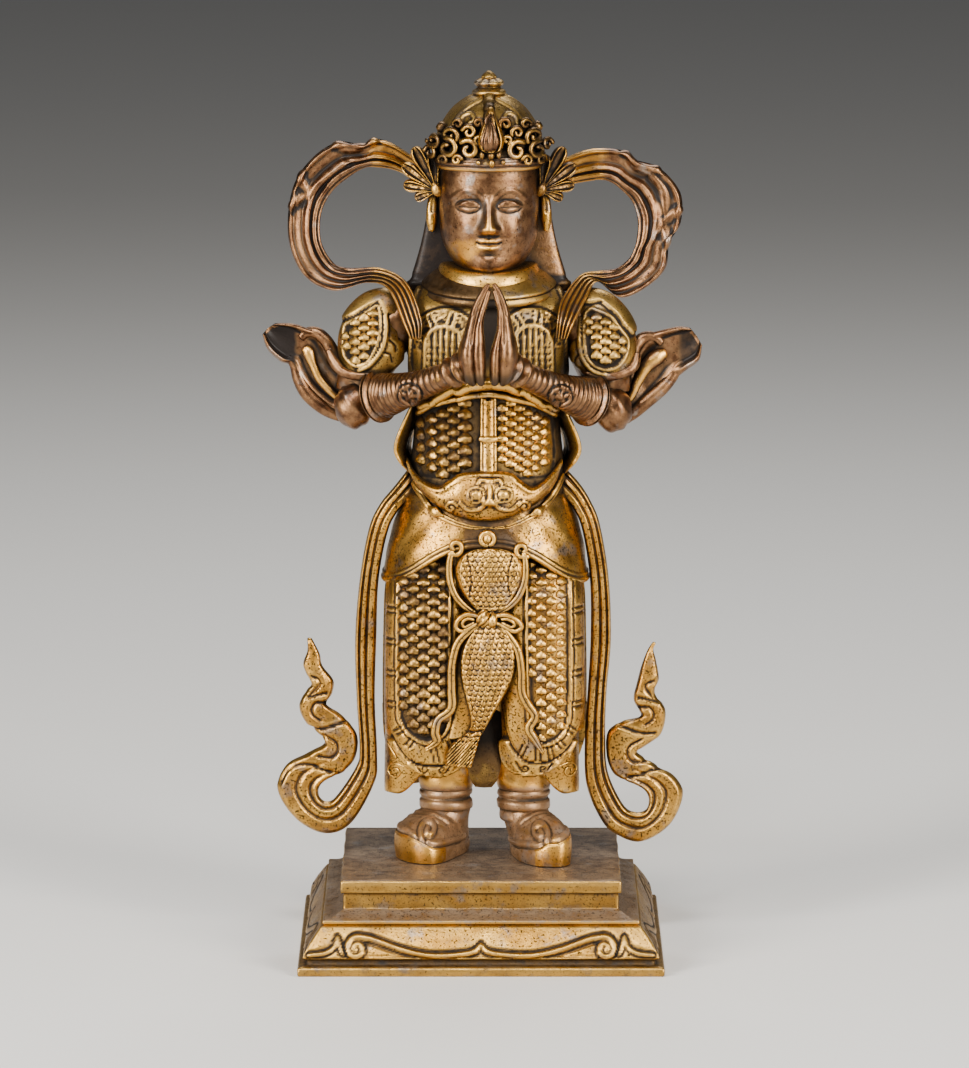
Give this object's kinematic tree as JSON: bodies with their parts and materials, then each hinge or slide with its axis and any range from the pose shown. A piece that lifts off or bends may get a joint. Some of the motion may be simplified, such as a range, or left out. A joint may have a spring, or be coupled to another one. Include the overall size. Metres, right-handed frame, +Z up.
{
  "type": "guardian figure",
  "caption": "Armoured guardian standing with palms together on a square stepped plinth, scarf looped behind the head and flame-ended ribbons beside the skirt.",
  "frame": {"origin": "centre of the plinth's underside", "axes": "+Z up, the figure faces -Y, +X is to the viewer's right"},
  "size_m": [0.16, 0.132, 0.3203],
  "materials": {
    "figure_gilt_bronze": "worn fire gilding over dark copper-brown bronze",
    "plinth_gilt_bronze": "worn fire gilding, browner on the flat tops"
  },
  "bodies": {
    "root": {"figure": "figure_gilt_bronze", "plinth": "plinth_gilt_bronze"}
  },
  "joints": []
}
